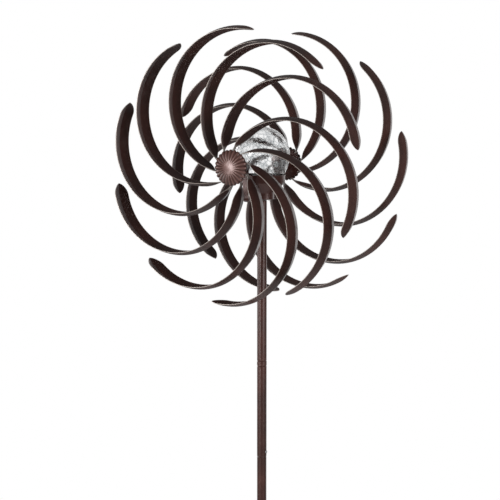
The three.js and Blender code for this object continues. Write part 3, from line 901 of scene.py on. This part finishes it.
def tube_profile(outer, bottom, shoulder, top, spigot):
    """Bottom to top on the outside, and back down the bore."""
    inner, throat = outer - TUBE_WALL, spigot - TUBE_WALL
    return [(inner, bottom)] + outside(outer, bottom, shoulder) + [
        (spigot, shoulder), (spigot, top), (throat, top), (throat, shoulder - THROAT_END),
        (inner, shoulder - THROAT_START)]


bore, slip = POLE - TUBE_WALL, LOWER_POLE - TUBE_WALL - GAP
top, foot = CUP_BOTTOM - STRAP - 2 * GAP, BAR - HUB_HEIGHT + GAP
ring_low = RING_TOP - RING_HEIGHT
ring = (ring_low + GAP, RING_TOP - GAP)
pole_tubes = {
    "pole_top": [(bore, RING_TOP)] + outside(POLE, RING_TOP, top) + [
        (BOLT_HOLE, top), (BOLT_HOLE, top - PLUG), (bore, top - PLUG)],
    "pole_ring": [(bore, ring[0])] + outside(POLE + RING_PROUD, *ring) + [(bore, ring[1])],
    "pole_middle": tube_profile(POLE, STEP_JOINT, ring_low, RING_TOP + SPIGOT, bore - GAP),
    "pole_lower": tube_profile(LOWER_POLE, BASE_JOINT, STEP_JOINT - GAP, STEP_JOINT + SPIGOT, slip),
    "pole_base": tube_profile(LOWER_POLE, foot, BASE_JOINT - GAP, BASE_JOINT + SPIGOT, slip),
}
for node, profile in pole_tubes.items():
    finish_piece(lay(turned(profile), HEAD), node, bronze, 0.25)

# %% [markdown]
# ## Screws
#
# A small pan-head screw stops each joint from turning. Its head is turned with a rounded edge
# and a round socket, and the finished screw is laid on its side.

# %% Model the joint screws
SCREW_RISE = 12  # above the joint
SCREW_LENGTH, SCREW_RADIUS = 4, 1.6
SCREW_EYE = 0.4  # the smallest ring, which is filled
SCREW_HEAD = [(3.2, 0), (3.2, 0.9), (2.7, 1.4), (2.0, 1.6),
              (1.5, 1.6), (1.4, 0.8), (SCREW_EYE, 0.8)]  # radius, and height over the tube
for node, outer, joint in (("upper_joint_screw", POLE, STEP_JOINT),
                           ("lower_joint_screw", LOWER_POLE, BASE_JOINT)):
    face, end = outer + GAP, outer - SCREW_LENGTH
    profile = [(SCREW_EYE, end), (SCREW_RADIUS, end), (SCREW_RADIUS, face)] + [
        (radius, face + rise) for radius, rise in SCREW_HEAD]
    up = Matrix.Translation((0, 0, (joint + SCREW_RISE) * MM))
    piece = lay(turned(profile, 32, closed=False), HEAD @ up @ Matrix.Rotation(math.pi / 2, 4, "Y"))
    finish_piece(piece, node, zinc)

# %% [markdown]
# ## The ground stake
#
# The stake is welded up: a flat bar to step on, two pointed prongs that go into the lawn, a
# socket for the pole, and gussets between socket and bar. Each piece is modelled by itself, and
# Booleans join them, as the welder does.

# %% Model the stake
BAR_LENGTH, BAR_WIDTH = 180, 28
PRONG_SPREAD, PRONG, STAKE_DEPTH = 80, 4, 200  # how far out, how thick and how deep a prong is
SOCKET_TOP, SOCKET_INNER, SOCKET_OUTER = 90, 11.3, 13.1
GUSSET, GUSSET_SHEET, GUSSET_TOE = 46, 3, 2  # its reach, its thickness and its outer height
PRONG_EYE, PRONG_POINT = 0.5, 25  # the smallest ring, which is filled, and the point's length
SINK = 0.5  # how far socket and gussets reach into the bar
STAKE_SCREW, SCREW_HOLE = 60, 2.8
HOLE_OUT, HOLE_DEPTH = 14, 14  # the drill goes through one wall of the socket only


def join_on(piece, other):
    """Welds another piece on, in triangles because a bent quad would leave a crack."""
    modify(other, "TRIANGULATE")
    boolean(piece, "UNION", other)


def step_bar():
    piece = start("cube", size=1, scale=Vector((BAR_LENGTH, BAR_WIDTH, BAR)) * MM,
                  location=(0, 0, BAR / 2 * MM))
    bevel(piece, 1.2, segments=3)
    return settle(piece, "stake")


def gusset(turn):
    """A triangle in the corner of socket and bar: a cube with one upright edge pulled down."""
    near = SOCKET_OUTER - 1
    length = GUSSET - near
    piece = start("cube", size=1, scale=Vector((length, GUSSET_SHEET, length)) * MM,
                  location=Vector((near + length / 2, 0, BAR - SINK + length / 2)) * MM)
    bpy.ops.object.mode_set(mode="OBJECT")
    bpy.ops.object.transform_apply(location=True, rotation=True, scale=True)
    bpy.ops.object.mode_set(mode="EDIT")
    pick(lambda co: co.x > (GUSSET - 1) * MM and co.z > BAR * MM)
    move(0, 0, GUSSET_TOE - length)
    bevel(piece, 0.4)
    settle(piece, "gusset")
    return lay(piece, Matrix.Rotation(turn, 4, "Z"))


stake = step_bar()
prong = [(PRONG_EYE, -STAKE_DEPTH), (1.2, 1.5 - STAKE_DEPTH), (PRONG, PRONG_POINT - STAKE_DEPTH),
         (PRONG, 1), (PRONG_EYE, 1)]
for x in (-PRONG_SPREAD, PRONG_SPREAD):
    join_on(stake, lay(turned(prong, 32, closed=False), Matrix.Translation((x * MM, 0, 0))))
for turn in (0, math.pi):
    join_on(stake, gusset(turn))
low, lip = BAR - SINK, SOCKET_TOP - 0.5
socket = [(SOCKET_INNER, low), (SOCKET_OUTER, low), (SOCKET_OUTER, lip),
          (SOCKET_OUTER - 0.4, SOCKET_TOP), (SOCKET_INNER + 0.4, SOCKET_TOP), (SOCKET_INNER, lip)]
join_on(stake, lay(turned(socket), Matrix()))
drill(stake, SCREW_HOLE, [(0, HOLE_OUT, STAKE_SCREW)], depth=HOLE_DEPTH)
finish_piece(stake, "ground_stake", bronze)

# %% [markdown]
# ## What stays as it was measured
#
# The other pieces are small, or hidden in the cup, and their measured shapes are right as they
# are. They only need their finishes: a measured part's mesh isn't touched, and its material
# slots are filled anew.

# %% Give the measured pieces their finishes
def dress(material, *nodes):
    """Gives measured pieces a finish."""
    for node in nodes:
        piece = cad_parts[node]
        piece.data.materials.clear()
        piece.data.materials.append(material)
    print(material.name, "on", len(nodes), "measured pieces")


for side in SIDES:
    dress(zinc, side + "_axle", side + "_washer", side + "_axle_nut")
    dress(ground_steel, side + "_inner_bearing", side + "_outer_bearing")
dress(zinc, "centre_bolt", "centre_nut", "stake_screw")
dress(rubber, "globe_seal")
dress(white_plastic, "lamp_deck", "switch_knob")
dress(black_plastic, "battery_tray", "switch_body")
dress(board_green, "circuit_board")
dress(wrap, "battery")
dress(silicon, "solar_cell")
dress(epoxy, "led_lamp")

# %% [markdown]
# ## The studio floor
#
# The sculpture stands on a pale floor. Round it the floor takes real light and shadow, and
# further out it fades away to the white of the backdrop, so that no horizon shows.

# %% The floor
FLOOR = (-STAKE_DEPTH - 0.5) * MM  # just under the prongs' points
FADE = (0.9, 2.6)  # where the floor starts to fade away, and where it is gone
PALE, PALER = (0.80, 0.80, 0.80, 1), (0.84, 0.84, 0.84, 1)


def studio_floor():
    piece = start("circle", vertices=96, radius=14, fill_type="NGON", location=(0, 0, FLOOR))
    bpy.ops.mesh.select_all(action="SELECT")
    for _ in range(4):
        bpy.ops.mesh.inset(thickness=0.1)
        bpy.ops.transform.resize(value=(0.6, 0.6, 1), center_override=(0, 0, FLOOR))
    settle(piece, "studio_floor")
    finish = Finish("pale studio floor", Roughness=0.6)
    away = finish.node("VectorMath", {"operation": "LENGTH"}, {0: finish.place()}, output=1)
    nothing = finish.node("BsdfTransparent")
    pale = Shade(finish, finish.shader.outputs[0])
    finish.set(Base_Color=finish.blend(finish.noise(3.0), PALE, PALER))
    mixed = finish.node("MixShader", None, {0: away.step(*FADE), 1: pale, 2: nothing})
    finish.feed(finish.out, "Surface", mixed)
    piece.data.materials.append(finish.material)


studio_floor()
print("the floor is at", round(FLOOR / MM, 1), "mm")

# %% [markdown]
# ## The backdrop
#
# The backdrop looks white all round, but a room that is white all round would light every blade
# evenly and hide its fold. So what the metal sees is a dim room with a white wall only at the
# back, whose light runs along the blades' narrow halves. The glass still shows plain white
# through it.

# %% Backdrop
world = bpy.data.worlds.new("white studio")
bpy.context.scene.world = world
world.use_nodes = True
nodes, links = world.node_tree.nodes, world.node_tree.links


def sky(kind, settings=None, inputs=None, output=0):
    """Adds a node to the world, with its settings first and then its sockets."""
    made = nodes.new("ShaderNode" + kind)
    for key, value in (settings or {}).items():
        setattr(made, key, value)
    for key, value in (inputs or {}).items():
        if isinstance(value, bpy.types.NodeSocket):
            links.new(value, made.inputs[key])
        else:
            made.inputs[key].default_value = value
    return made.outputs[output]


BACKDROP, ROOM = 1.0, 0.14  # how bright the white backdrop and the rest of the room are
WALL = (0.78, 0.94)  # how straight back a ray must go to meet the white wall's edge, and its middle
backwards = sky("SeparateXYZ", None, {0: sky("TexCoord")}, output=1)
studio = sky("MapRange", {"interpolation_type": "SMOOTHSTEP"}, {
    "Value": backwards, "From Min": WALL[0], "From Max": WALL[1],
    "To Min": ROOM, "To Max": BACKDROP})
rays = nodes.new("ShaderNodeLightPath").outputs
seen = sky("Math", {"operation": "MAXIMUM"}, {
    0: rays["Is Camera Ray"], 1: rays["Is Transmission Ray"]})
strength = sky("Mix", {"data_type": "FLOAT"}, {0: seen, 2: studio, 3: BACKDROP})
links.new(strength, nodes["Background"].inputs["Strength"])
nodes["Background"].inputs["Color"].default_value = (1, 1, 1, 1)
bpy.context.scene.view_settings.view_transform = "Standard"
print("the room is at", ROOM, "and the backdrop at", BACKDROP)

# %% [markdown]
# ## The lights
#
# Each light is a square soft box. The key makes the soft spot on the cap and the long stripe on
# the pole. Two large ones at the sides keep the blades brown rather than black, one from behind
# shapes the rear rotor, and a low one lights the pole. Places are in metres and power in watts.

# %% Lights
def soft_light(name, azimuth, distance, height, size, power, aim=HUB_HEIGHT * MM):
    """A square soft box at an angle round the sculpture, 0 in front of it and 90 on its right."""
    data = bpy.data.lights.new(name, "AREA")
    data.shape, data.size, data.energy = "SQUARE", size, power
    lamp = bpy.data.objects.new(name, data)
    bpy.context.scene.collection.objects.link(lamp)
    turn = math.radians(azimuth)
    lamp.location = (distance * math.sin(turn), -distance * math.cos(turn), height)
    lamp.rotation_euler = (Vector((0, 0, aim)) - lamp.location).to_track_quat("-Z", "Y").to_euler()
    lamp.visible_camera = lamp.visible_transmission = False  # the glass shows the backdrop only


soft_light("key", -20, 3.2, height=1.6, size=0.9, power=40)
soft_light("right fill", 70, 3.5, height=1.7, size=2.6, power=62)
soft_light("left fill", -80, 3.5, height=1.3, size=1.8, power=30)
soft_light("back fill", -112, 3.5, height=2.0, size=1.8, power=40)
soft_light("pole light", -18, 3.0, height=0.7, size=0.7, power=12, aim=0.8)

# %% [markdown]
# ## The camera
#
# The camera stands to the right of the sculpture's front, a little above the rotors' axis, with
# a lens long enough that the near and far rotors look almost the same size. It is aimed by a
# direction rather than at the hub, because the hub sits above the middle of the picture.

# %% Camera
camera = bpy.data.objects.new("camera", bpy.data.cameras.new("camera"))
bpy.context.scene.collection.objects.link(camera)
camera.data.sensor_width, camera.data.lens = 36, 95
camera.location = (1.435, -2.675, 1.525)
looking = Vector((-0.4781, 0.8720, -0.1050))
camera.rotation_euler = looking.to_track_quat("-Z", "Y").to_euler()
bpy.context.scene.camera = camera
print("camera is %.2f m from the pole" % camera.location.xy.length)
